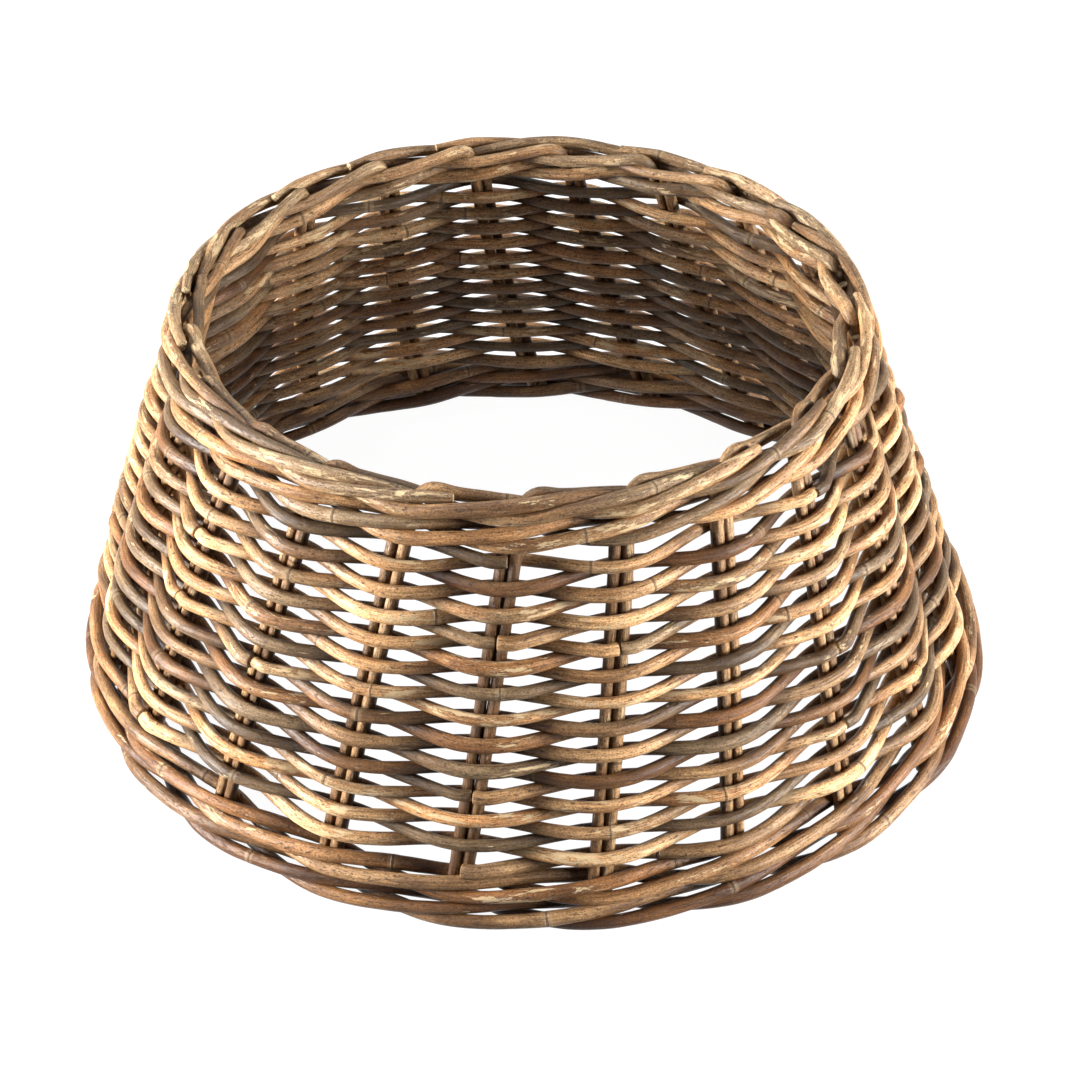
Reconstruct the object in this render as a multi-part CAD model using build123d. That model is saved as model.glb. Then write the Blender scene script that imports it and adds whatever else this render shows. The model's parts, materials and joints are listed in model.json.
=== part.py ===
"""A woven rattan collar that stands round the foot of a christmas tree and hides its stand.

Twenty-one pairs of upright stakes lean inwards from a wide foot to a narrower rim. Rods are woven
over and under them in one climbing spiral, between bands of three-rod waling, and the stakes' own
ends are bent down and woven into the rim's border.

Millimetres. The origin is the middle of the foot, on the floor, and +Z is up. The front looks
along -Y. Angles are counted from the front, towards +X. Places on the wall are given as steps from
stake to stake, as reach outwards from the wall's middle, and as height above the floor.
"""

from build123d import *
import math
import os

# The wall's middle surface, which the straight stakes lie in
foot_radius = 298.5
top_radius = 216.0
twist_angle = 9.7
stake_count = 21
first_stake_angle = 7.2

# Rods of rattan
stake_diameter = 7.8
weaver_diameter = 7.6
wale_diameter = 7.7

# Clearances between rods that lie against each other
stake_gap = 0.45
pair_gap = 0.3
rod_gap = 0.4
strand_gap = 0.65
band_gap = 0.45
field_gap = 0.75
end_gap = 0.6

# Bends: how far each side of a pass a rod curves, and how much of a run a curve may take
bend_reach = 19.0
bend_run_share = 0.45
lead_length = 11.0
kink_radius = 9.0
settling_rounds = 8

# The woven field
row_count = 24
field_first_stake = 20
weaver_steps = (18, 16, 20)

# The three-rod bands at the foot and under the rim
strand_names = ("a", "b", "c")
wale_slack = 1.0
wale_bulge = 2.8
wale_tuck = 1.0
floor_cut = 0.5

# The stakes' feet, and how their ends run in the rim's border, as shares of their diameter
foot_clearance = 3.0
stake_stub = 6.0
border_slack = 1.0
border_bulge = 1.5
crown_share = 0.85
tuck_share = 0.3
dip_share = 0.6
low_share = 0.6
high_share = 0.68
crest_share = 0.8
tip_reach_share = 0.7
tip_step_share = 0.42

# Heights from the floor up
band_rise = (wale_diameter + strand_gap) / 2
foot_border_middle = wale_diameter / 2 + band_rise - floor_cut
foot_wale_middle = foot_border_middle + 4 * band_rise
row_pitch = weaver_diameter + rod_gap
wale_to_row = band_rise + (wale_diameter + weaver_diameter) / 2 + field_gap
first_row = foot_wale_middle + wale_to_row
top_wale_middle = first_row + row_count * row_pitch + wale_to_row
border_dip = dip_share * stake_diameter
wale_to_border = band_rise + (wale_diameter + stake_diameter) / 2 + band_gap + border_dip
top_border_middle = top_wale_middle + wale_to_border
collar_height = top_border_middle + (crest_share + 0.5) * stake_diameter

# Angles and sideways places that follow from the sizes above
gap_angle = 360 / stake_count
wall_lean = math.atan((foot_radius - top_radius) / collar_height)
stake_aside = (stake_diameter + pair_gap) / 2
field_steps = row_count * stake_count


def ring_point(radius, angle, height):
    """A point at an angle from the front, on a level ring round the collar's axis."""
    turn = math.radians(angle)
    return Vector(radius * math.sin(turn), -radius * math.cos(turn), height)


def on_wall(step, height):
    """A point of the wall's middle, on the straight line that a stake at this step stands in."""
    angle = first_stake_angle + step * gap_angle
    foot = ring_point(foot_radius, angle, 0)
    top = ring_point(top_radius, angle + twist_angle, collar_height)
    return foot + (top - foot) * (height / collar_height)


def place(step, reach, height, aside=0):
    """A point beside the wall's middle: reach outwards from it, and aside to the right of it."""
    middle = on_wall(step, height)
    outward = Vector(middle.X, middle.Y, 0).normalized()
    rightward = Vector(-outward.Y, outward.X, 0)
    return middle + outward * reach + rightward * aside


def pass_reach(diameter):
    """How far from the wall's middle a level rod passes a leaning stake."""
    return ((stake_diameter + diameter) / 2 + stake_gap) / math.cos(wall_lean)


def settle_corners(passes):
    """Corners and radii of a bent rod whose bends run through the points given."""
    corners = list(passes)
    radii = [0] * len(passes)
    for _ in range(settling_rounds):
        settled = list(corners)
        for index in range(1, len(passes) - 1):
            back = corners[index - 1] - corners[index]
            ahead = corners[index + 1] - corners[index]
            turn = math.radians(180 - back.get_angle(ahead))
            half_length = min(bend_reach, bend_run_share * min(back.length, ahead.length))
            inward = (back.normalized() + ahead.normalized()).normalized()
            settled[index] = passes[index] - inward * (half_length * math.tan(turn / 4))
            radii[index] = half_length / math.tan(turn / 2)
        corners = settled
    return corners, radii[1:-1]


def round_rod(corners, radii, diameter):
    """A round rod of one diameter, straight between its corners and bent at each of them."""
    path = FilletPolyline(*corners, radius=radii) if radii else Line(*corners)
    section = Plane(origin=path @ 0, z_dir=path % 0) * Circle(diameter / 2)
    solid = sweep(section, path=path)
    print(f"  length {path.length:.1f}, volume over section by length "
          f"{solid.volume / (section.area * path.length):.4f}, least radius {min(radii, default=0):.1f}")
    return solid


def end_run(step, reach, height, toward):
    """The cut end of a rod and the short straight run behind it, laid square across a stake pair."""
    end = place(step, reach, height, toward * end_gap / 2)
    lead = place(step, reach, height, toward * lead_length)
    return [end, lead] if toward > 0 else [lead, end]


def weaver_passes(first, last):
    """A weaver's way over one stake pair and under the next, climbing by a row in each round."""
    reach = pass_reach(weaver_diameter)
    passes = []
    for step in range(first, last + 1):
        height = first_row + row_pitch * step / stake_count
        stake = field_first_stake + step
        side = 1 if step % 2 == 0 else -1
        if step == first:
            passes += end_run(stake, side * reach, height, 1)
        elif step == last:
            passes += end_run(stake, side * reach, height, -1)
        else:
            passes.append(place(stake, side * reach, height))
    return passes


def weaver_spans():
    """The first and last step of each weaver, one behind the other until the field is full."""
    spans = []
    first = 0
    while first < field_steps:
        last = min(first + weaver_steps[len(spans) % len(weaver_steps)], field_steps)
        spans.append((first, last))
        first = last
    return spans


def strand_passes(middle, first_stake):
    """One strand of a band: low outside a stake pair, high outside the next, inside the third."""
    reach = pass_reach(wale_diameter) + wale_slack
    inside = first_stake - 1
    passes = end_run(inside, -reach, middle, 1)
    for stake in range(first_stake, first_stake + stake_count, len(strand_names)):
        passes.append(place(stake - 0.5, -wale_tuck, middle - band_rise))
        passes.append(place(stake, reach, middle - band_rise))
        passes.append(place(stake + 0.5, reach + wale_bulge, middle))
        passes.append(place(stake + 1, reach, middle + band_rise))
        passes.append(place(stake + 1.5, -wale_tuck, middle + band_rise))
        passes.append(place(stake + 2, -reach, middle))
    passes.pop()
    passes += end_run(inside + stake_count, -reach, middle, -1)
    return passes


def border_passes(stake):
    """A stake's end in the rim: bent down, inside the next pair, outside two more, then cut off."""
    reach = pass_reach(stake_diameter) + border_slack
    middle = top_border_middle
    return [
        place(stake, 0, middle + crown_share * stake_diameter, stake_aside),
        place(stake + 1, -reach, middle - tuck_share * stake_diameter),
        place(stake + 1.5, 0, middle - border_dip),
        place(stake + 2, reach, middle - low_share * stake_diameter),
        place(stake + 2.5, reach + border_bulge, middle),
        place(stake + 3, reach, middle + high_share * stake_diameter),
        place(
            stake + 3 + tip_step_share,
            tip_reach_share * stake_diameter,
            middle + crest_share * stake_diameter,
        ),
    ]


def main_stake(stake):
    """The right-hand stake of a pair, with its end woven into the rim's border."""
    foot = place(stake, 0, foot_clearance, stake_aside)
    corners, radii = settle_corners(border_passes(stake))
    return round_rod([foot, *corners], [kink_radius, *radii], stake_diameter)


def by_stake(stake):
    """The left-hand stake of a pair, cut off short inside the rim's border."""
    foot = place(stake, 0, foot_clearance, -stake_aside)
    top = place(stake, 0, top_border_middle - stake_stub, -stake_aside)
    return round_rod([foot, top], [], stake_diameter)


def save(name, shape):
    """Write one sub-part to its own file."""
    print(name)
    export_step(shape, f"parts/{name}.step")


def make_stake_pairs():
    """Every pair of stakes, the main one and the one beside it."""
    for stake in range(stake_count):
        save(f"stake_pair_{stake + 1:02d}", Compound([main_stake(stake), by_stake(stake)]))


def make_weavers():
    """Every weaver of the field's spiral."""
    for index, (first, last) in enumerate(weaver_spans()):
        corners, radii = settle_corners(weaver_passes(first, last))
        save(f"weaver_{index + 1:02d}", round_rod(corners, radii, weaver_diameter))


def make_band(band, middle):
    """The three strands of one band, each a stake further round than the last."""
    for index, strand in enumerate(strand_names):
        corners, radii = settle_corners(strand_passes(middle, index))
        solid = round_rod(corners, radii, wale_diameter)
        save(f"{band}_{strand}", split(solid, bisect_by=Plane.XY, keep=Keep.TOP))


os.makedirs("parts", exist_ok=True)
make_stake_pairs()
make_weavers()
make_band("foot_border", foot_border_middle)
make_band("foot_wale", foot_wale_middle)
make_band("top_wale", top_wale_middle)
print("collar height", round(collar_height, 2))
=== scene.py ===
"""Dresses the woven rattan tree collar: every rod as a real, uneven piece of peeled rattan.

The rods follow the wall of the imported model. Places on that wall are given as steps from stake to
stake, as reach outwards from the wall's middle, and as height above the floor, in metres.
"""

import json
import math
import random

import bmesh
import bpy
from bpy.props import FloatProperty, FloatVectorProperty, IntProperty, PointerProperty
from mathutils import Matrix, Vector, noise
from mathutils.geometry import interpolate_bezier


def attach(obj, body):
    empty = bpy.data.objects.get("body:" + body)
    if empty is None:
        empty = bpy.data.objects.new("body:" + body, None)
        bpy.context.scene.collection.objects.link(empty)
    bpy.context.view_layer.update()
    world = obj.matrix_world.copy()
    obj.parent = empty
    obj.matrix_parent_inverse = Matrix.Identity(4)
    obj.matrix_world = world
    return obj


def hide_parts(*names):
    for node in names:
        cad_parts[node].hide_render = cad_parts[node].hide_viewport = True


bl_info = {
    "name": "Woven rattan tree collar",
    "version": (1, 0, 0),
    "blender": (4, 5, 0),
    "location": "3D View > Sidebar > Collar",
    "description": "Weaves a tapered rattan collar rod by rod, and sets it on a pale studio floor",
    "category": "Add Mesh",
}

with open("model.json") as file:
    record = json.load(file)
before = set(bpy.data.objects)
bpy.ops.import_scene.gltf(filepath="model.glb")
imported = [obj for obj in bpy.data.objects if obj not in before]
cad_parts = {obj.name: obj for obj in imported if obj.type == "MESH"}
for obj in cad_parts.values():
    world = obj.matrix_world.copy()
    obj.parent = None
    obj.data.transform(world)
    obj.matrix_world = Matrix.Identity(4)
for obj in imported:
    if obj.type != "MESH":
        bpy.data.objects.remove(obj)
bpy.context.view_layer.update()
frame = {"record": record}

MM = 0.001
BODY = "root"
STRANDS = ("a", "b", "c")
WEAVER_STEPS = (18, 16, 20)
FIELD_FIRST_STAKE = 20

# Shares of the wall's unevenness: how much more than evenly its middle leans, and how much rounder
# its rim is than its foot
MIDDLE_LEAN_SHARE = 0.4
ROUNDER_RIM_SHARE = 0.67

# Painted shade, multiplied into the rods' colour, lies this deep either side of the wall's middle
# and this far over the border's middle, and then fades out
SHADE_DEPTH = 2 * MM
SHADE_FADE = 5 * MM
SHADE_TOP = 2 * MM
SHADE_TOP_FADE = 7 * MM

# A rod passes a leaning stake this much further out than an upright one
LEANING_SHARE = 1.05

# Slow noise that moves neighbouring rods up and down together: its pace round and up the wall, its
# seed, and its size as a share of the rods' wander
DRIFT_ROUND = 2.4
DRIFT_RISE = 14
DRIFT_SEED = 3
DRIFT_SHARE = 1.6

# How far a rod's own knots stray, as shares of the rods' wander, and how far it slides at a stake
WEAVER_STRAY_SHARE = 0.3
STRAND_STRAY_SHARE = 0.35
STAKE_STRAY_SHARE = 0.2
WEAVER_SLIDE = 1.5 * MM

# A cane's growth: shares of the mean spacing of its rings, a ring's width, the paces of its swell,
# dents and turning oval, and how deep the dents are
NODE_GAP_SHARES = (0.75, 1.3)
NODE_WIDTH = 2.4 * MM
GRAIN_SPAN = 50
SWELL_PACE = 22
DENT_PACE = 70
DENT_ROUND = 0.8
DENT_SHARE = 0.05
OVAL_PACE = 6
OVAL_SEED = 5
OVAL_TURN = 4

# A rod's cut end: how much of its radius is softened, and how much is flat end grain
SOFT_END_SHARE = 0.18
FLAT_END_SHARE = 0.9
SAME_PLACE = 1e-6

# A stake's end in the rim: its length and the length over which it changes, how much further its
# colour goes towards the grey, and how far its tip tapers
RIM_END = 260 * MM
RIM_END_CHANGE = 30 * MM
RIM_END_GREYING = 0.18
TIP_TAPER = 28 * MM
TIP_TAPER_SHARE = 0.28

# How far rods of one kind differ in thickness at most, as multiples of their spread
THICKNESS_LIMITS = (-1.6, 1.9)
STRAND_THICKNESS_SHARES = (0.96, 1.04)

# How much lighter or darker, and how much more weathered, the rods of one kind are
STAKE_TONES = (-0.15, 0.15)
STAKE_WEATHER = (-0.1, 0.25)
WEAVER_TONES = (-0.25, 0.25)
WEAVER_WEATHER = (-0.12, 0.3)
STRAND_TONES = (-0.12, 0.12)
STRAND_WEATHER = (-0.1, 0.15)


def linear_colour(code):
    """A linear RGBA colour from an sRGB hex code."""
    linear = []
    for index in (1, 3, 5):
        part = int(code[index : index + 2], 16) / 255
        linear.append(part / 12.92 if part <= 0.04045 else ((part + 0.055) / 1.055) ** 2.4)
    return (*linear, 1.0)


def length_size(name, description, millimetres):
    """A length in the sidebar, with its default given in millimetres."""
    return FloatProperty(
        name=name,
        description=description,
        default=millimetres * MM,
        min=0,
        unit="LENGTH",
        subtype="DISTANCE",
    )


def angle_size(name, description, degrees):
    """An angle in the sidebar, with its default given in degrees."""
    return FloatProperty(
        name=name,
        description=description,
        default=math.radians(degrees),
        unit="ROTATION",
        subtype="ANGLE",
    )


def share_size(name, description, share):
    """A plain share in the sidebar."""
    return FloatProperty(name=name, description=description, default=share, subtype="FACTOR")


def colour_size(name, description, code):
    """A colour in the sidebar, with its default given as an sRGB hex code."""
    return FloatVectorProperty(
        name=name,
        description=description,
        default=linear_colour(code),
        size=4,
        min=0,
        max=1,
        subtype="COLOR",
    )


class CollarWall(bpy.types.PropertyGroup):
    """The wall that the stakes stand in, and the levels of what is woven round them."""

    foot_radius: length_size("Foot radius", "Radius of the wall's middle at the floor", 298.5)
    rim_radius: length_size("Rim radius", "Radius of the wall's middle at the rim", 212.6)
    height: length_size("Height", "Height of the whole collar", 268.57)
    twist: angle_size("Twist", "How far the stakes lean round the collar", 9.7)
    first_angle: angle_size("First stake", "Angle of the first pair from the front", 7.2)
    lean: length_size("Lean", "How far the rim stands to the left of the foot", 7.0)
    bow: length_size("Bow", "How far the wall bows outwards at half height", 1.95)
    oval_share: share_size("Oval", "How far the foot is from round, by its radius", 0.0122)
    squeeze_share: share_size("Squeeze", "How much deeper and narrower the foot is", 0.004)
    stake_pairs: IntProperty(
        name="Stake pairs", description="Pairs of upright stakes", default=21, min=6
    )
    foot_border: length_size("Foot border level", "Middle height of the foot's border", 7.53)
    foot_wale: length_size("Foot wale level", "Middle height of the band above it", 24.23)
    first_row: length_size("First row level", "Height where the woven rows start", 36.8)
    row_pitch: length_size("Row pitch", "Height from one woven row to the next", 8.0)
    rows: IntProperty(name="Rows", description="Woven rows between the bands", default=24, min=1)
    top_wale: length_size("Top wale level", "Middle height of the band under the rim", 241.98)
    rim_border: length_size("Rim border level", "Middle height of the rim's border", 258.0)


class CollarRods(bpy.types.PropertyGroup):
    """The rods' thickness, and how uneven they are."""

    stake: length_size("Stake", "Thickness of an upright stake", 7.9)
    border: length_size("Border", "Thickness of a stake's end in the rim's border", 8.3)
    weaver: length_size("Weaver", "Mean thickness of a woven rod", 8.4)
    wale: length_size("Wale strand", "Mean thickness of a strand of a band", 9.1)
    spread: share_size("Spread", "How far the rods' thicknesses differ", 0.08)
    swell: share_size("Swell", "How far a rod's thickness changes along it", 0.06)
    oval: share_size("Oval", "How far a rod is from round", 0.035)
    node_gap: length_size("Node spacing", "Mean length between a cane's growth rings", 290.0)
    node_swell: length_size("Node swell", "How far a growth ring stands out", 0.18)
    wander: length_size("Wander", "How far a rod strays from its even path", 0.8)
    end_gap: length_size("End gap", "Gap between two rods that meet end to end", 1.5)
    ring: length_size("Ring spacing", "Length from one ring of the mesh to the next", 3.0)
    sides: IntProperty(name="Sides", description="Sides of each rod's mesh", default=16, min=6)


class CollarColours(bpy.types.PropertyGroup):
    """The colours of the peeled and weathered rattan, and of the floor."""

    honey: colour_size("Honey", "Fresh side of a light rod", "#D0A577")
    tan: colour_size("Tan", "Plain rod", "#B18256")
    brown: colour_size("Brown", "Reddish rod that kept its skin", "#966840")
    grey: colour_size("Grey", "Weathered rod", "#957C5E")
    stake: colour_size("Stake", "Upright stake", "#997350")
    shade: colour_size("Shade", "Dark fibres and pits", "#422D1F")
    peel: colour_size("Peel", "Bare patch where the skin came off", "#E4C79A")
    # Painted shade: the colour multiplied in where the rods lie deep among each other and cross,
    # where shade falls
    crevice_shade: colour_size("Crevice shade", "Dust and stain between the rods, multiplied in", "#AAA49D")
    floor: colour_size("Floor", "Studio floor", "#FFFFFF")


def wall():
    """The collar's wall sizes."""
    return bpy.context.scene.collar_wall


def rods():
    """The collar's rod sizes."""
    return bpy.context.scene.collar_rods


def ramp(value, start, length):
    """0 up to the start, then evenly up to 1 over the length, and 1 from there on."""
    return min(max((value - start) / length, 0), 1)


def ring_point(radius, angle, height):
    """A point at an angle from the front, on a level ring round the collar's axis."""
    return Vector((radius * math.sin(angle), -radius * math.cos(angle), height))


def wall_level(height):
    """The wall's mean radius at a height, how far it leans to the left, and its squeeze."""
    sizes = wall()
    share = height / sizes.height
    middle_share = 4 * share * (1 - share)
    straight = sizes.foot_radius + (sizes.rim_radius - sizes.foot_radius) * share
    lean = sizes.lean * (share + MIDDLE_LEAN_SHARE * middle_share)
    return straight + sizes.bow * middle_share, lean, sizes.squeeze_share * (1 - share)


def out_of_round(angle, height):
    """How much further out than its mean radius the wall stands at an angle and height."""
    sizes = wall()
    oval_share = sizes.oval_share * (1 - ROUNDER_RIM_SHARE * height / sizes.height)
    return 1 + oval_share * math.sin(2 * angle)


def on_wall(step, height):
    """A point of the wall's middle at a step, on a wall that bows, leans and is a little oval."""
    sizes = wall()
    radius, lean, squeeze = wall_level(height)
    around = sizes.first_angle + step * math.tau / sizes.stake_pairs
    angle = around + sizes.twist * height / sizes.height
    spot = ring_point(radius * out_of_round(angle, height), angle, height)
    return Vector((spot.x * (1 - squeeze) - lean, spot.y * (1 + squeeze), height))


def depth_in_weave(spot):
    """How deep a point lies among the rods, which is the share of painted shade it gets: 1 in the
    wall's middle, 0 at its faces and on top.
    """
    radius, lean, squeeze = wall_level(spot.z)
    across, along = (spot.x + lean) / (1 - squeeze), spot.y / (1 + squeeze)
    middle = radius * out_of_round(math.atan2(across, -along), spot.z)
    to_face = ramp(abs(math.hypot(across, along) - middle), SHADE_DEPTH, SHADE_FADE)
    to_top = ramp(spot.z, wall().rim_border + SHADE_TOP, SHADE_TOP_FADE)
    return (1 - to_face) * (1 - to_top)


def place(step, reach, height, aside=0):
    """A point beside the wall's middle: reach outwards from it, and aside to the right of it."""
    middle = on_wall(step, height)
    outward = Vector((middle.x, middle.y, 0)).normalized()
    rightward = Vector((-outward.y, outward.x, 0))
    return middle + outward * reach + rightward * aside


def pass_reach(thickness):
    """How far from the wall's middle a level rod of this thickness passes a stake."""
    return (rods().stake + thickness) / 2 * LEANING_SHARE


def drift(step, height):
    """A smooth wander of the weave, much alike for rods that lie against each other."""
    angle = step * math.tau / wall().stake_pairs
    round_wall = (DRIFT_ROUND * math.cos(angle), DRIFT_ROUND * math.sin(angle))
    return noise.noise(Vector((*round_wall, height * DRIFT_RISE + DRIFT_SEED)))


def smooth_way(knots, spacing):
    """A smooth line through the knots, as points about a spacing apart."""
    ahead = []
    for index in range(len(knots)):
        before = knots[max(index - 1, 0)]
        after = knots[min(index + 1, len(knots) - 1)]
        ahead.append((after - before).normalized())
    line = [knots[0]]
    for index in range(len(knots) - 1):
        start, end = knots[index], knots[index + 1]
        third = (end - start).length / 3
        count = max(3, math.ceil(3 * third / spacing) + 1)
        start_handle = start + ahead[index] * third
        end_handle = end - ahead[index + 1] * third
        line += interpolate_bezier(start, start_handle, end_handle, end, count)[1:]
    return line


class RodLine:
    """A rod's middle line, with a frame at each of its evenly spaced points that never twists."""

    def __init__(self, knots, spacing):
        fine = smooth_way(knots, spacing / 2)
        marks = [0.0]
        for start, end in zip(fine, fine[1:]):
            marks.append(marks[-1] + (end - start).length)
        self.length = marks[-1]
        self.cuts = max(2, round(self.length / spacing))
        self.spacing = self.length / self.cuts
        points = []
        index = 0
        for count in range(self.cuts + 1):
            mark = min(count * self.spacing, self.length)
            while index < len(marks) - 2 and marks[index + 1] < mark:
                index += 1
            share = (mark - marks[index]) / (marks[index + 1] - marks[index])
            points.append(fine[index].lerp(fine[index + 1], min(share, 1)))
        self.frames = []
        outward = Vector((points[0].x, points[0].y, 0)).normalized()
        for count, point in enumerate(points):
            before = points[max(count - 1, 0)]
            after = points[min(count + 1, self.cuts)]
            along = (after - before).normalized()
            outward = (outward - along * outward.dot(along)).normalized()
            self.frames.append((point, outward, along.cross(outward), along))

    def spot(self, mark, across, up):
        """The point at a length along the rod, and across and up from its middle."""
        count = min(max(int(mark / self.spacing + 0.5), 0), self.cuts)
        point, outward, side, along = self.frames[count]
        return point + along * (mark - count * self.spacing) + outward * across + side * up


class Cane:
    """How one cane grew: where its growth rings stand, and how it swells, dents and flattens."""

    def __init__(self, name, radius):
        dice = random.Random(f"{name} grain")
        self.sizes = rods()
        self.radius = radius
        self.node_gap = self.sizes.node_gap * dice.uniform(*NODE_GAP_SHARES)
        self.node_phase = dice.random()
        self.offset = Vector([dice.uniform(0, GRAIN_SPAN) for _ in "xyz"])
        self.lobe = dice.uniform(0, math.tau)

    def growth(self, mark):
        """How many growth rings have passed at a length along the cane."""
        return mark / self.node_gap + self.node_phase

    def scale(self, mark, angle):
        """How much wider than its radius the cane is at a length along it and an angle round it."""
        around = Vector((0, math.cos(angle) * DENT_ROUND, math.sin(angle) * DENT_ROUND))
        swell = noise.noise(Vector((mark * SWELL_PACE, 0, 0)) + self.offset) * 2
        dents = noise.noise(Vector((mark * DENT_PACE, 0, 0)) + around + self.offset) * DENT_SHARE
        turn = noise.noise(Vector((mark * OVAL_PACE, OVAL_SEED, 0)) + self.offset) * OVAL_TURN
        oval = math.cos(2 * (angle - self.lobe) + turn) * self.sizes.oval
        to_node = ((self.growth(mark) + 0.5) % 1 - 0.5) * self.node_gap
        ring = self.sizes.node_swell / self.radius * math.exp(-((to_node / NODE_WIDTH) ** 2))
        return 1 + swell * self.sizes.swell + dents + oval + ring


def straight_rod(length, cuts, radius):
    """A straight round rod as a bmesh, in rings from end to end, with softened cut ends."""
    half = length / 2
    shell = bmesh.new()
    bmesh.ops.create_cone(
        shell,
        cap_ends=True,
        segments=rods().sides,
        radius1=radius,
        radius2=radius,
        depth=length,
    )
    long_edges = [e for e in shell.edges if abs(e.verts[0].co.z - e.verts[1].co.z) > half]
    bmesh.ops.subdivide_edges(shell, edges=long_edges, cuts=cuts - 1, use_grid_fill=True)
    bmesh.ops.bevel(
        shell,
        geom=[e for e in shell.edges if all(abs(abs(v.co.z) - half) < SAME_PLACE for v in e.verts)],
        offset=radius * SOFT_END_SHARE,
        segments=2,
        profile=0.5,
        affect="EDGES",
        material=-1,
    )
    return shell


def bent_rod(name, knots, thickness, tone, weather, ends_in_rim=False):
    """A rod of uneven rattan bent along the knots, as a new object. Where it ends in the rim, that
    end is a little thicker and greyer, and its tip tapers."""
    sizes = rods()
    line = RodLine(knots, sizes.ring)
    radius = thickness / 2
    cane = Cane(name, radius)
    shell = straight_rod(line.length, line.cuts, radius)
    grain = shell.verts.layers.float_vector.new("grain")
    mood = shell.verts.layers.float_vector.new("mood")
    crevice_shade = shell.verts.layers.float.new("crevice_shade")
    node_place = shell.verts.layers.float.new("node_place")
    for vert in shell.verts:
        mark = vert.co.z + line.length / 2
        across, up = vert.co.x, vert.co.y
        scale = cane.scale(mark, math.atan2(up, across))
        weathered = weather
        if ends_in_rim:
            in_rim = ramp(mark, line.length - RIM_END, RIM_END_CHANGE)
            scale *= 1 + (sizes.border / sizes.stake - 1) * in_rim
            scale *= 1 - TIP_TAPER_SHARE * ramp(mark, line.length - TIP_TAPER, TIP_TAPER)
            weathered += RIM_END_GREYING * in_rim
        inside_face = math.hypot(across, up) < radius * FLAT_END_SHARE
        cut_end = inside_face and (mark < radius or line.length - mark < radius)
        spot = line.spot(mark, across * scale, up * scale)
        spot.z = max(spot.z, 0)
        vert.co = spot
        vert[grain] = Vector((mark + cane.offset.x, across, up))
        vert[mood] = Vector((tone, weathered, 1.0 if cut_end else 0.0))
        # How much painted shade the point gets, most in the wall's middle and none on top of the
        # rim
        vert[crevice_shade] = depth_in_weave(spot)
        vert[node_place] = cane.growth(mark)
    bmesh.ops.recalc_face_normals(shell, faces=shell.faces)
    mesh = bpy.data.meshes.new(name)
    shell.to_mesh(mesh)
    shell.free()
    for polygon in mesh.polygons:
        polygon.use_smooth = True
    piece = bpy.data.objects.new(name, mesh)
    bpy.context.scene.collection.objects.link(piece)
    return piece


def thickness_of(mean, dice):
    """A rod's own thickness, near the mean for its kind."""
    least, most = THICKNESS_LIMITS
    return mean * (1 + max(least, min(most, dice.gauss(0, 1))) * rods().spread)


ATTRIBUTE = "ShaderNodeAttribute"
MATH = "ShaderNodeMath"
RANGE = "ShaderNodeMapRange"
MIX = "ShaderNodeMix"
ADD = {"operation": "ADD"}
TIMES = {"operation": "MULTIPLY"}
TIMES_AND_ADD = {"operation": "MULTIPLY_ADD"}
SMOOTH = {"interpolation_type": "SMOOTHSTEP"}
COLOUR = {"data_type": "RGBA"}
MULTIPLY = {"data_type": "RGBA", "blend_type": "MULTIPLY"}

# Sockets of a Mix node for colours
SHARE, UNDER, OVER = 0, 6, 7
MIXED = 2

# What marks the cane: length along the rod and width, then detail, roughness and distortion
CANE_MARKS = {
    "patches": (55 * MM, 8 * MM, 3, 0.55, 0.0),
    "stretches": (70 * MM, 25 * MM, 2, 0.55, 0.0),
    "fibres": (30 * MM, 1.6 * MM, 5, 0.68, 0.0),
    "speckle": (1.25 * MM, 1.0 * MM, 3, 0.65, 0.0),
    "pits": (4.2 * MM, 1.0 * MM, 2, 0.5, 0.0),
    "weather": (110 * MM, 14 * MM, 3, 0.55, 0.0),
    "scars": (110 * MM, 33 * MM, 2, 0.55, 0.0),
    "peel": (21 * MM, 4.2 * MM, 6, 0.74, 0.3),
    "pores": (1.1 * MM, 1.1 * MM, 2, 0.55, 0.0),
}

# What is multiplied into the colour: where its noise starts and ends to count, its darkest and
# palest factor, and its share. Stretches run along the rod, fibres are fine, speckle is dull.
CANE_TONES = {
    "stretches": (0.17, 0.83, (0.28, 0.23, 0.185, 1), (1.66, 1.66, 1.62, 1), 1.0),
    "fibres": (0.3, 0.68, (0.38, 0.32, 0.26, 1), (1.32, 1.35, 1.38, 1), 1.0),
    "speckle": (0.3, 0.66, (0.36, 0.31, 0.26, 1), (1.4, 1.44, 1.46, 1), 0.85),
}

# Where a value starts and ends to count, and what it gives at each. The growth rings' two are
# shares of the length between rings: a band of about 3 mm either side, and a thin line.
RANGE_SOCKETS = ("From Min", "From Max", "To Min", "To Max")
CANE_RANGES = {
    name: dict(zip(RANGE_SOCKETS, numbers))
    for name, numbers in {
        "warm": (0.35, 0.75, 0.0, 1.0),
        "grey": (0.62, 0.95, 0.0, 0.85),
        "pits": (0.58, 0.68, 0.0, 1.0),
        "scarred": (0.4, 0.6, -0.07, 0.07),
        "peeled": (0.6, 0.62, 0.0, 1.0),
        "ring band": (0.008, 0.013, 0.14, 0.0),
        "ring line": (0.0018, 0.0036, 0.6, 0.0),
        "pores": (0.5, 0.62, 0.0, 1.0),
        "cut end": (0.4, 0.8, 0.0, 1.0),
        "satin": (0.3, 0.7, 0.43, 0.26),
    }.items()
}

# How much of their colour pits and bare patches get, how far a rod's tone holds back its scars, and
# how ragged a growth ring is
PITS_SHARE = 0.75
BARE_SHARE = 0.8
TONE_TO_SCARS = 0.6
RAGGED_RING = 0.004

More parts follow.
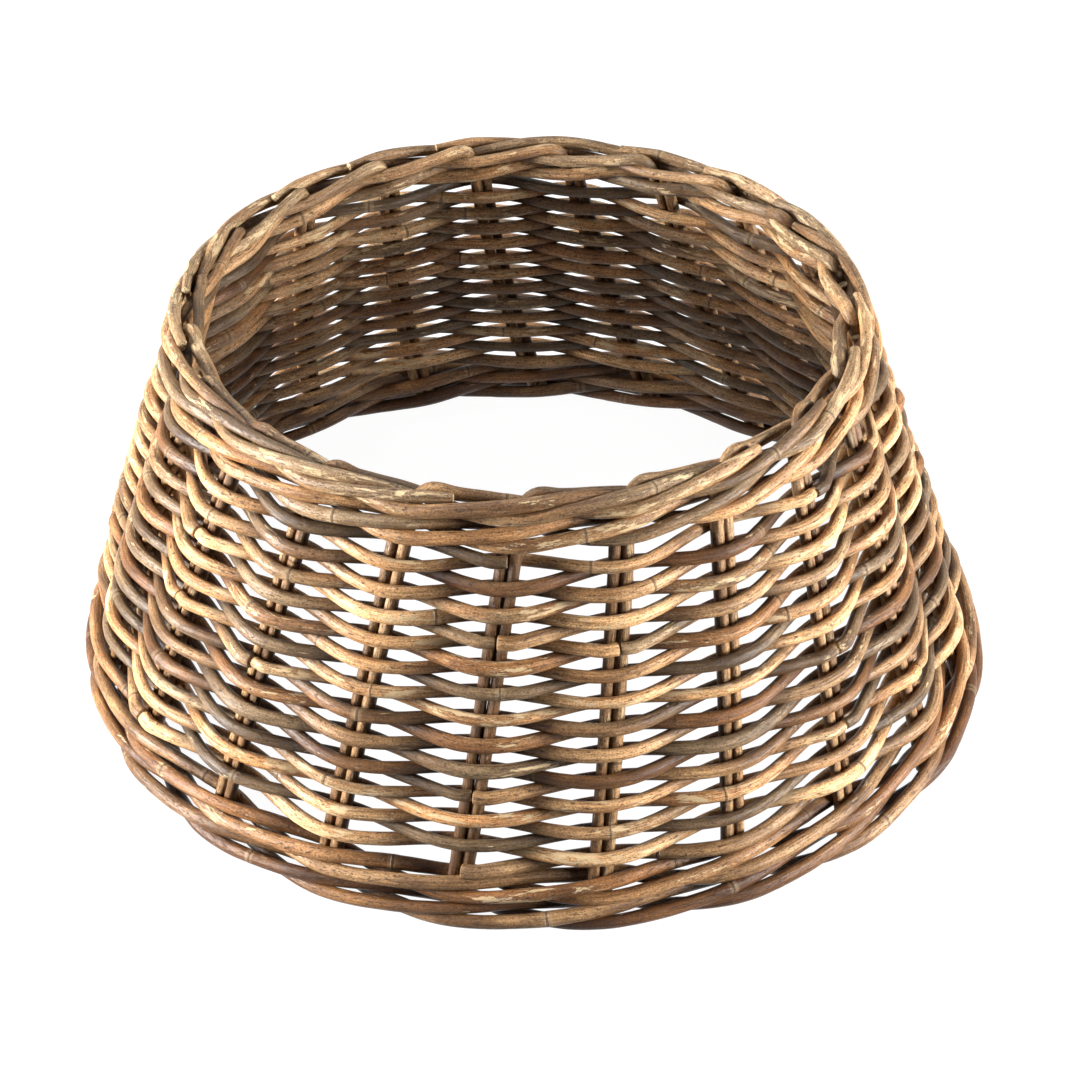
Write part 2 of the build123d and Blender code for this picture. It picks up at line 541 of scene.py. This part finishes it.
# What stands up from the cane or lies deeper, beside its fibres
FIBRE_HEIGHT = 1.5
SPECKLE_HEIGHT = 0.45
PEEL_HEIGHT = 0.5
PIT_HEIGHT = -0.8
RING_HEIGHT = -2.0
RELIEF = {"Strength": 0.8, "Distance": 0.6 * MM}

# Wood's index, and a dull skin without wax
CANE_SKIN = {"IOR": 1.45, "Specular IOR Level": 0.32}


def add_node(tree, kind, settings=None, inputs=None):
    """Adds a node with its settings. Each input gets a value, or a link from a node's output."""
    node = tree.nodes.new(kind)
    for name, value in (settings or {}).items():
        setattr(node, name, value)
    for name, value in (inputs or {}).items():
        if isinstance(value, bpy.types.NodeSocket):
            tree.links.new(value, node.inputs[name])
        else:
            node.inputs[name].default_value = value
    return node


def cane_marks(tree):
    """The noise of each kind of mark, stretched along the cane to the mark's real size."""
    grain = add_node(tree, ATTRIBUTE, {"attribute_name": "grain"}).outputs["Vector"]
    marks = {}
    for mark, (length, width, detail, roughness, distortion) in CANE_MARKS.items():
        scale = (1 / length, 1 / width, 1 / width)
        stretched = add_node(tree, "ShaderNodeVectorMath", TIMES, {0: grain, 1: scale})
        noisy = {
            "Vector": stretched.outputs[0],
            "Scale": 1.0,
            "Detail": detail,
            "Roughness": roughness,
            "Distortion": distortion,
        }
        marks[mark] = add_node(tree, "ShaderNodeTexNoise", {}, noisy).outputs["Fac"]
    return marks


def rattan(name, main, second):
    """Kubu rattan cane, soaked, split from its skin and dried: dull satin, with long dark fibres,
    pits, growth rings and pale patches where the last of the skin peeled off."""
    colours = bpy.context.scene.collar_colours
    peel, shade = tuple(colours.peel), tuple(colours.shade)
    ranges = CANE_RANGES
    material = bpy.data.materials.new(name)
    material.use_nodes = True
    tree = material.node_tree
    tree.nodes.clear()

    marks = cane_marks(tree)
    mood = add_node(tree, ATTRIBUTE, {"attribute_name": "mood"}).outputs["Vector"]
    moods = add_node(tree, "ShaderNodeSeparateXYZ", {}, {0: mood})
    tone, weather, cut = (moods.outputs[axis] for axis in "XYZ")
    growth = add_node(tree, ATTRIBUTE, {"attribute_name": "node_place"}).outputs["Fac"]
    crevice_shade = add_node(tree, ATTRIBUTE, {"attribute_name": "crevice_shade"}).outputs["Fac"]

    # Warm patches, then grey weathered ones
    warm = add_node(tree, MATH, ADD, {0: marks["patches"], 1: tone}).outputs[0]
    warm = add_node(tree, RANGE, SMOOTH, {"Value": warm, **ranges["warm"]}).outputs[0]
    base = add_node(tree, MIX, COLOUR, {SHARE: warm, UNDER: main, OVER: second}).outputs[MIXED]
    grey = add_node(tree, MATH, ADD, {0: marks["weather"], 1: weather}).outputs[0]
    grey = add_node(tree, RANGE, SMOOTH, {"Value": grey, **ranges["grey"]}).outputs[0]
    weathered = {SHARE: grey, UNDER: base, OVER: tuple(colours.grey)}
    base = add_node(tree, MIX, COLOUR, weathered).outputs[MIXED]

    # Darker and paler stretches, dark fibres and dull speckle, each multiplied into the colour
    stretches = add_node(tree, MATH, ADD, {0: marks["stretches"], 1: tone}).outputs[0]
    sources = {**marks, "stretches": stretches}
    for mark, (low, high, dark, light, share) in CANE_TONES.items():
        counted = {"Value": sources[mark], "From Min": low, "From Max": high}
        amount = add_node(tree, RANGE, {}, counted).outputs[0]
        factor = {SHARE: amount, UNDER: dark, OVER: light}
        factor = add_node(tree, MIX, COLOUR, factor).outputs[MIXED]
        base = {SHARE: share, UNDER: base, OVER: factor}
        base = add_node(tree, MIX, MULTIPLY, base).outputs[MIXED]

    # Pits, and peeled patches on some stretches
    pits = add_node(tree, RANGE, SMOOTH, {"Value": marks["pits"], **ranges["pits"]}).outputs[0]
    pitted = add_node(tree, MATH, TIMES, {0: pits, 1: PITS_SHARE}).outputs[0]
    base = add_node(tree, MIX, COLOUR, {SHARE: pitted, UNDER: base, OVER: shade}).outputs[MIXED]
    toned = {0: tone, 1: TONE_TO_SCARS, 2: marks["scars"]}
    scarred = add_node(tree, MATH, TIMES_AND_ADD, toned).outputs[0]
    scarred = add_node(tree, RANGE, {}, {"Value": scarred, **ranges["scarred"]}).outputs[0]
    peeled = add_node(tree, MATH, ADD, {0: marks["peel"], 1: scarred}).outputs[0]
    peeled = add_node(tree, RANGE, SMOOTH, {"Value": peeled, **ranges["peeled"]}).outputs[0]
    bare = add_node(tree, MATH, TIMES, {0: peeled, 1: BARE_SHARE}).outputs[0]
    base = add_node(tree, MIX, COLOUR, {SHARE: bare, UNDER: base, OVER: peel}).outputs[MIXED]

    # Growth rings: a thin dark line in a paler raised band
    ragged = {0: marks["speckle"], 1: RAGGED_RING, 2: growth}
    turned = add_node(tree, MATH, TIMES_AND_ADD, ragged).outputs[0]
    away = add_node(tree, MATH, {"operation": "PINGPONG"}, {0: turned, 1: 0.5}).outputs[0]
    band = add_node(tree, RANGE, SMOOTH, {"Value": away, **ranges["ring band"]}).outputs[0]
    ring = add_node(tree, RANGE, SMOOTH, {"Value": away, **ranges["ring line"]}).outputs[0]
    base = add_node(tree, MIX, COLOUR, {SHARE: band, UNDER: base, OVER: peel}).outputs[MIXED]
    base = add_node(tree, MIX, COLOUR, {SHARE: ring, UNDER: base, OVER: shade}).outputs[MIXED]

    # Cut ends: pale end grain with open pores
    pores = add_node(tree, RANGE, {}, {"Value": marks["pores"], **ranges["pores"]}).outputs[0]
    pale = {SHARE: pores, UNDER: peel, OVER: shade}
    end_grain = add_node(tree, MIX, COLOUR, pale).outputs[MIXED]
    cut_end = add_node(tree, RANGE, {}, {"Value": cut, **ranges["cut end"]}).outputs[0]
    base = {SHARE: cut_end, UNDER: base, OVER: end_grain}
    base = add_node(tree, MIX, COLOUR, base).outputs[MIXED]

    # Painted shade, multiplied into the colour where the rods cross and lie deep in the weave
    crevice_shaded = {SHARE: crevice_shade, UNDER: linear_colour("#FFFFFF"), OVER: tuple(colours.crevice_shade)}
    crevice_shaded = add_node(tree, MIX, COLOUR, crevice_shaded).outputs[MIXED]
    base = add_node(tree, MIX, MULTIPLY, {SHARE: 1.0, UNDER: base, OVER: crevice_shaded}).outputs[MIXED]

    # Fibres, speckle and peeled skin stand up, pits and rings lie deeper
    relief = add_node(tree, MATH, TIMES, {0: marks["fibres"], 1: FIBRE_HEIGHT}).outputs[0]
    for source, height in (
        (marks["speckle"], SPECKLE_HEIGHT),
        (peeled, PEEL_HEIGHT),
        (pits, PIT_HEIGHT),
        (ring, RING_HEIGHT),
    ):
        raised = {0: source, 1: height, 2: relief}
        relief = add_node(tree, MATH, TIMES_AND_ADD, raised).outputs[0]
    bump = add_node(tree, "ShaderNodeBump", {}, {"Height": relief, **RELIEF}).outputs["Normal"]
    satin = add_node(tree, RANGE, {}, {"Value": marks["fibres"], **ranges["satin"]}).outputs[0]
    skin = {"Base Color": base, "Roughness": satin, "Normal": bump, **CANE_SKIN}
    shader = add_node(tree, "ShaderNodeBsdfPrincipled", {}, skin)
    add_node(tree, "ShaderNodeOutputMaterial", {}, {"Surface": shader.outputs[0]})
    return material


def finish_of(slot):
    """The rattan finish for one of the record's slots, made once."""
    name = f"{slot}_cane"
    if name in bpy.data.materials:
        return bpy.data.materials[name]
    colours = bpy.context.scene.collar_colours
    main, second = {
        "rattan_stake": (colours.stake, colours.honey),
        "rattan_honey": (colours.honey, colours.tan),
        "rattan_tan": (colours.tan, colours.honey),
        "rattan_grey": (colours.grey, colours.tan),
        "rattan_brown": (colours.brown, colours.tan),
    }[slot]
    return rattan(name, tuple(main), tuple(second))


def dress(piece, node):
    """Gives a piece its node's finish, and lets it stand for the node and ride on the collar."""
    subparts = frame["record"]["subparts"]
    slot = next(part["material_slot"] for part in subparts if part["node"] == node)
    piece.data.materials.append(finish_of(slot))
    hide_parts(node)
    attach(piece, BODY)


# The straight run behind a rod's cut end
LEAD = 11 * MM

# A strand of a band: how much closer than a weaver it passes the stakes, how far it bulges between
# two of them, how far it tucks in, and how much of it is flat on the floor
STRAND_CLOSER = 0.4 * MM
STRAND_BULGE = 1.1 * MM
STRAND_TUCK = 1.0 * MM
STRAND_FLAT = 0.5 * MM

# How far the strands of each band pass over and under its middle, and how dark they are
BAND_RISES = {"foot_border": 4.4 * MM, "foot_wale": 4.4 * MM, "top_wale": 4.1 * MM}
BAND_TONES = {"foot_border": -0.24, "foot_wale": -0.16, "top_wale": -0.05}

# A pair of stakes: how far they sink into each other, how high over the floor they start, in how
# many runs they go up, and how far under the border's middle the short one ends
PAIR_SINK = 0.05 * MM
STAKE_FOOT = 3 * MM
STAKE_RUNS = 7
BY_STAKE_DROP = 6 * MM

# The main stake's sharp bend at the rim: its radius, how far under the border's middle it starts,
# how far inside the wall's middle it stands, and how much further in it goes
KINK = 9 * MM
KINK_DROP = 4.6 * MM
KINK_INSET = 0.6 * MM
KINK_INWARD_SHARE = 0.25

# How much further out than its reach a stake's end passes the stakes, and how far it strays
BORDER_SLACK = 0.2 * MM
BORDER_STRAY = 0.6

# A stake's end in the rim: steps past its own stake, share of a rod's reach from the wall and
# millimetres more, millimetres above the border's middle, and how far it may stray from there
BORDER_WAY = (
    (0.42, -0.55, 0.0, 1.6, 1.0),
    (1.0, -1.0, -0.2, -3.0, 1.0),
    (1.5, 0.0, 0.0, -5.0, 1.0),
    (2.0, 1.0, -0.3, -4.3, 0.7),
    (2.5, 1.0, 1.1, 0.8, 1.0),
    (3.0, 1.0, 0.2, 4.3, 0.5),
)

# The last of it: cut off on top, laid over to the inside, or tucked into the next stake's bend
STAKE_ENDINGS = {
    "on top": ((3.42, 0.0, 5.6, 5.0, 0.5),),
    "inside": (
        (3.42, 0.0, 3.0, 5.3, 0.3),
        (3.7, 0.0, -1.8, 5.6, 0.3),
        (3.92, 0.0, -6.0, 5.3, 0.3),
    ),
    "tucked": (
        (3.4, 0.0, 5.2, 4.6, 0.5),
        (3.75, 0.0, 1.5, 2.8, 0.0),
        (4.03, 0.0, 0.0, 0.6, 0.0),
    ),
}
ENDING_WEIGHTS = (6, 1, 4)


def end_run(step, reach, height, toward):
    """The knots of a rod's cut end and the straight run behind it, laid across a pair of stakes."""
    end = place(step, reach, height, toward * rods().end_gap / 2)
    lead = place(step, reach, height, toward * LEAD)
    return [end, lead] if toward > 0 else [lead, end]


def weaver_spans():
    """The first and last step of each weaver, one behind the other until the field is full."""
    all_steps = wall().rows * wall().stake_pairs
    spans = []
    first = 0
    while first < all_steps:
        last = min(first + WEAVER_STEPS[len(spans) % len(WEAVER_STEPS)], all_steps)
        spans.append((first, last))
        first = last
    return spans


def weaver_knots(first, last, thickness, dice):
    """A weaver's way over one pair of stakes and under the next, climbing a row in each round."""
    sizes = wall()
    wander = rods().wander
    stray = WEAVER_STRAY_SHARE * wander
    reach = pass_reach(thickness)
    knots = []
    for step in range(first, last + 1):
        height = sizes.first_row + sizes.row_pitch * step / sizes.stake_pairs
        stake = FIELD_FIRST_STAKE + step
        height += drift(stake, height) * wander * DRIFT_SHARE + dice.uniform(-stray, stray)
        side = 1 if step % 2 == 0 else -1
        if step == first:
            knots += end_run(stake, side * reach, height, 1)
        elif step == last:
            knots += end_run(stake, side * reach, height, -1)
        else:
            slide = dice.uniform(-WEAVER_SLIDE, WEAVER_SLIDE)
            knots.append(place(stake, side * reach, height, slide))
    return knots


def strand_knots(middle, rise, first_stake, thickness, dice):
    """A band's strand: low outside a pair of stakes, high outside the next, inside the third."""
    stake_pairs = wall().stake_pairs
    reach = pass_reach(thickness) - STRAND_CLOSER
    bulge = reach + STRAND_BULGE
    lowest = thickness / 2 - STRAND_FLAT
    low, high = middle - rise, middle + rise
    stray = STRAND_STRAY_SHARE * rods().wander
    inside = first_stake - 1
    knots = end_run(inside, -reach, middle, 1)
    for stake in range(first_stake, first_stake + stake_pairs, len(STRANDS)):
        up = [dice.uniform(-stray, stray) for _ in range(6)]
        knots.append(place(stake - 0.5, -STRAND_TUCK, low + up[0]))
        knots.append(place(stake, reach, max(low + up[1], lowest)))
        knots.append(place(stake + 0.5, bulge, middle + up[2]))
        knots.append(place(stake + 1, reach, high + up[3]))
        knots.append(place(stake + 1.5, -STRAND_TUCK, high + up[4]))
        knots.append(place(stake + 2, -reach, middle + up[5]))
    knots.pop()
    knots += end_run(inside + stake_pairs, -reach, middle, -1)
    return knots


def stake_aside():
    """How far each stake of a pair stands beside the pair's middle."""
    return rods().stake / 2 - PAIR_SINK


def main_stake_knots(stake, thickness, dice):
    """The right-hand stake of a pair: up the wall, bent sharply at the rim and woven into it."""
    border = wall().rim_border
    stray = STAKE_STRAY_SHARE * rods().wander
    aside = stake_aside()
    reach = pass_reach(thickness) + BORDER_SLACK
    pitch = wall().rim_radius * math.tau / wall().stake_pairs
    kink_base = border - KINK_DROP
    knots = []
    for count in range(STAKE_RUNS):
        height = STAKE_FOOT + (kink_base - STAKE_FOOT) * count / STAKE_RUNS
        strayed = aside + dice.uniform(-stray, stray)
        knots.append(place(stake, dice.uniform(-stray, stray), height, strayed))
    for turn in (0, 45, 90):
        bend = math.radians(turn)
        forward = KINK * (1 - math.cos(bend))
        height = kink_base + KINK * math.sin(bend)
        inset = -KINK_INSET - KINK_INWARD_SHARE * forward
        knots.append(place(stake + forward / pitch, inset, height, aside))
    ending = dice.choices(list(STAKE_ENDINGS), weights=ENDING_WEIGHTS)[0]
    for step, share, across, up, stray_share in BORDER_WAY + STAKE_ENDINGS[ending]:
        up += dice.uniform(-BORDER_STRAY, BORDER_STRAY) * stray_share
        knots.append(place(stake + step, share * reach + across * MM, border + up * MM))
    return knots


def by_stake_knots(stake, dice):
    """The left-hand stake of a pair, cut off short inside the rim's border."""
    stray = STAKE_STRAY_SHARE * rods().wander
    top = wall().rim_border - BY_STAKE_DROP
    knots = []
    for count in range(STAKE_RUNS + 1):
        height = STAKE_FOOT + (top - STAKE_FOOT) * count / STAKE_RUNS
        reach = dice.uniform(-stray, stray)
        knots.append(place(stake, reach, height, dice.uniform(-stray, stray) - stake_aside()))
    return knots


class COLLAR_OT_stakes(bpy.types.Operator):
    """Set up the pairs of stakes, and weave their ends into the rim"""

    bl_idname = "collar.stakes"
    bl_label = "Stakes"

    def execute(self, context):
        for stake in range(wall().stake_pairs):
            for part in ("main", "by"):
                name = f"stake_{stake + 1:02d}_{part}"
                dice = random.Random(name)
                thickness = thickness_of(rods().stake, dice)
                if part == "main":
                    knots = main_stake_knots(stake, thickness, dice)
                else:
                    knots = by_stake_knots(stake, dice)
                tone, weather = dice.uniform(*STAKE_TONES), dice.uniform(*STAKE_WEATHER)
                piece = bent_rod(name, knots, thickness, tone, weather, part == "main")
                dress(piece, f"stake_pair_{stake + 1:02d}")
        return {"FINISHED"}


class COLLAR_OT_weavers(bpy.types.Operator):
    """Weave the rods of the field"""

    bl_idname = "collar.weavers"
    bl_label = "Weavers"

    def execute(self, context):
        for index, (first, last) in enumerate(weaver_spans()):
            name = f"weaver_rod_{index + 1:02d}"
            dice = random.Random(name)
            thickness = thickness_of(rods().weaver, dice)
            knots = weaver_knots(first, last, thickness, dice)
            tone, weather = dice.uniform(*WEAVER_TONES), dice.uniform(*WEAVER_WEATHER)
            piece = bent_rod(name, knots, thickness, tone, weather)
            dress(piece, f"weaver_{index + 1:02d}")
        return {"FINISHED"}


def weave_band(band, middle):
    """Weaves the three strands of one band, each a stake further round than the last."""
    for index, strand in enumerate(STRANDS):
        node = f"{band}_{strand}"
        name = f"{node}_rod"
        dice = random.Random(name)
        thickness = rods().wale * dice.uniform(*STRAND_THICKNESS_SHARES)
        knots = strand_knots(middle, BAND_RISES[band], index, thickness, dice)
        tone = BAND_TONES[band] + dice.uniform(*STRAND_TONES)
        piece = bent_rod(name, knots, thickness, tone, dice.uniform(*STRAND_WEATHER))
        dress(piece, node)


class COLLAR_OT_foot_border(bpy.types.Operator):
    """Weave the border that the collar stands on"""

    bl_idname = "collar.foot_border"
    bl_label = "Foot border"

    def execute(self, context):
        weave_band("foot_border", wall().foot_border)
        return {"FINISHED"}


class COLLAR_OT_foot_wale(bpy.types.Operator):
    """Weave the three-rod band above the foot's border"""

    bl_idname = "collar.foot_wale"
    bl_label = "Foot wale"

    def execute(self, context):
        weave_band("foot_wale", wall().foot_wale)
        return {"FINISHED"}


class COLLAR_OT_top_wale(bpy.types.Operator):
    """Weave the three-rod band under the rim"""

    bl_idname = "collar.top_wale"
    bl_label = "Top wale"

    def execute(self, context):
        weave_band("top_wale", wall().top_wale)
        return {"FINISHED"}


# The floor's half width, the greys that it bounces and takes shadow with, and how white it shows
FLOOR_HALF = 6
FLOOR_SEGMENTS = 4
BOUNCE_GREY = "#454545"
SHADOW_GREY = "#616161"
FLOOR_GLOW = 0.96

# The light from all round, and the white that is seen behind the object
SOFT_STRENGTH = 0.01
WHITE_STRENGTH = 1.0

# The soft lamps: where each hangs and looks, its width, its power in watts and its colour
LAMPS = {
    "right_lamp": ((2.05, -0.58, 0.5), (0, 0, 0.12), 0.75, 130, "#FDFEFF"),
    "left_lamp": ((-2.1, -0.26, 0.5), (0, 0, 0.12), 0.75, 164, "#FFFFFF"),
    "top_lamp": ((-0.75, 0.65, 2.4), (0, 0, 0.2), 0.8, 38, "#F9FDFF"),
}

# The camera: its film and lens in millimetres, its shift, how far it sees, how far it looks down
# and leans, and the point that it looks at from a distance
CAMERA_FILM = 36
CAMERA_LENS = 107.64
CAMERA_SHIFT = (0.00728, -0.0571)
CAMERA_SIGHT = 20
CAMERA_TILT = math.radians(34.7906)
CAMERA_ROLL = math.radians(-0.5259)
CAMERA_TARGET = Vector((0, 0, 0.12662))
CAMERA_DISTANCE = 2.1768


def background_rays(tree):
    """1 for the rays that show the white background: the camera's, and gloss and clear parts'."""
    path = add_node(tree, "ShaderNodeLightPath")
    shown = path.outputs["Is Camera Ray"]
    for ray in ("Is Glossy Ray", "Is Transmission Ray"):
        either = {0: shown, 1: path.outputs[ray]}
        shown = add_node(tree, MATH, {"operation": "MAXIMUM"}, either).outputs[0]
    return shown


def studio_white(name, colour):
    """Painted studio board: matt white, shown white to the camera with only a faint shadow."""
    bounce, shadow = linear_colour(BOUNCE_GREY), linear_colour(SHADOW_GREY)
    material = bpy.data.materials.new(name)
    material.use_nodes = True
    tree = material.node_tree
    tree.nodes.clear()
    seen = background_rays(tree)
    plain = add_node(tree, "ShaderNodeBsdfDiffuse", {}, {"Color": bounce}).outputs[0]
    faint = add_node(tree, "ShaderNodeBsdfDiffuse", {}, {"Color": shadow}).outputs[0]
    glowing = {"Color": colour, "Strength": FLOOR_GLOW}
    glow = add_node(tree, "ShaderNodeEmission", {}, glowing).outputs[0]
    both = add_node(tree, "ShaderNodeAddShader", {}, {0: faint, 1: glow}).outputs[0]
    mixed = add_node(tree, "ShaderNodeMixShader", {}, {0: seen, 1: plain, 2: both}).outputs[0]
    add_node(tree, "ShaderNodeOutputMaterial", {}, {"Surface": mixed})
    return material


def studio_world():
    """Soft light from all round, and plain white where the camera sees past the floor."""
    world = bpy.data.worlds.new("studio_world")
    world.use_nodes = True
    tree = world.node_tree
    tree.nodes.clear()
    seen = background_rays(tree)
    sides = []
    for strength in (SOFT_STRENGTH, WHITE_STRENGTH):
        lit = {"Color": linear_colour("#FFFFFF"), "Strength": strength}
        sides.append(add_node(tree, "ShaderNodeBackground", {}, lit).outputs[0])
    both = {0: seen, 1: sides[0], 2: sides[1]}
    mixed = add_node(tree, "ShaderNodeMixShader", {}, both).outputs[0]
    add_node(tree, "ShaderNodeOutputWorld", {}, {"Surface": mixed})
    bpy.context.scene.world = world


def soft_lamp(name, spot, target, size, power, colour):
    """A square soft lamp at a spot, turned to its target."""
    light = bpy.data.lights.new(name, "AREA")
    light.shape = "SQUARE"
    light.size = size
    light.energy = power
    light.color = linear_colour(colour)[:3]
    lamp = bpy.data.objects.new(name, light)
    lamp.location = spot
    lamp.rotation_mode = "QUATERNION"
    lamp.rotation_quaternion = (Vector(target) - Vector(spot)).to_track_quat("-Z", "Y")
    bpy.context.scene.collection.objects.link(lamp)


def studio_camera():
    """The camera at the photographer's place, a long way back and above, turned a little."""
    data = bpy.data.cameras.new("camera")
    data.sensor_width = CAMERA_FILM
    data.lens = CAMERA_LENS
    data.shift_x, data.shift_y = CAMERA_SHIFT
    data.clip_end = CAMERA_SIGHT
    camera = bpy.data.objects.new("camera", data)
    ahead = Vector((0, math.cos(CAMERA_TILT), -math.sin(CAMERA_TILT)))
    right = Vector((1, 0, 0))
    up = right.cross(ahead)
    rolled_right = right * math.cos(CAMERA_ROLL) + up * math.sin(CAMERA_ROLL)
    rolled_up = up * math.cos(CAMERA_ROLL) - right * math.sin(CAMERA_ROLL)
    turn = Matrix((rolled_right, rolled_up, -ahead)).transposed()
    camera.rotation_mode = "QUATERNION"
    camera.rotation_quaternion = turn.to_quaternion()
    camera.location = CAMERA_TARGET - ahead * CAMERA_DISTANCE
    bpy.context.scene.collection.objects.link(camera)
    bpy.context.scene.camera = camera


class COLLAR_OT_stage(bpy.types.Operator):
    """Lay the floor, hang the lamps and place the camera"""

    bl_idname = "collar.stage"
    bl_label = "Stage"

    def execute(self, context):
        scene = context.scene
        scene.view_settings.view_transform = "Standard"
        board = bmesh.new()
        bmesh.ops.create_grid(
            board, x_segments=FLOOR_SEGMENTS, y_segments=FLOOR_SEGMENTS, size=FLOOR_HALF
        )
        mesh = bpy.data.meshes.new("floor")
        board.to_mesh(mesh)
        board.free()
        floor = bpy.data.objects.new("floor", mesh)
        scene.collection.objects.link(floor)
        white = studio_white("white_board", tuple(scene.collar_colours.floor))
        floor.data.materials.append(white)
        studio_world()
        for name, settings in LAMPS.items():
            soft_lamp(name, *settings)
        studio_camera()
        return {"FINISHED"}


STEPS = (
    COLLAR_OT_stakes,
    COLLAR_OT_weavers,
    COLLAR_OT_foot_border,
    COLLAR_OT_foot_wale,
    COLLAR_OT_top_wale,
    COLLAR_OT_stage,
)


class COLLAR_PT_panel(bpy.types.Panel):
    """The collar's sizes, colours and steps"""

    bl_label = "Rattan collar"
    bl_idname = "COLLAR_PT_panel"
    bl_space_type = "VIEW_3D"
    bl_region_type = "UI"
    bl_category = "Collar"

    def draw(self, context):
        scene = context.scene
        for group in (scene.collar_wall, scene.collar_rods, scene.collar_colours):
            column = self.layout.column(align=True)
            for name in group.__annotations__:
                column.prop(group, name)
        for step in STEPS:
            self.layout.operator(step.bl_idname)


CLASSES = (CollarWall, CollarRods, CollarColours, *STEPS, COLLAR_PT_panel)


def register():
    """Adds the collar's classes and its sizes to the scene."""
    for each in CLASSES:
        bpy.utils.register_class(each)
    bpy.types.Scene.collar_wall = PointerProperty(type=CollarWall)
    bpy.types.Scene.collar_rods = PointerProperty(type=CollarRods)
    bpy.types.Scene.collar_colours = PointerProperty(type=CollarColours)


def unregister():
    """Takes the collar's sizes and classes away again."""
    del bpy.types.Scene.collar_colours
    del bpy.types.Scene.collar_rods
    del bpy.types.Scene.collar_wall
    for each in reversed(CLASSES):
        bpy.utils.unregister_class(each)


def main():
    """Makes the whole collar and its stage."""
    register()
    bpy.ops.collar.stage()
    bpy.ops.collar.stakes()
    bpy.ops.collar.weavers()
    bpy.ops.collar.foot_border()
    bpy.ops.collar.foot_wale()
    bpy.ops.collar.top_wale()
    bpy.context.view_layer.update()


if __name__ == "__main__":
    main()
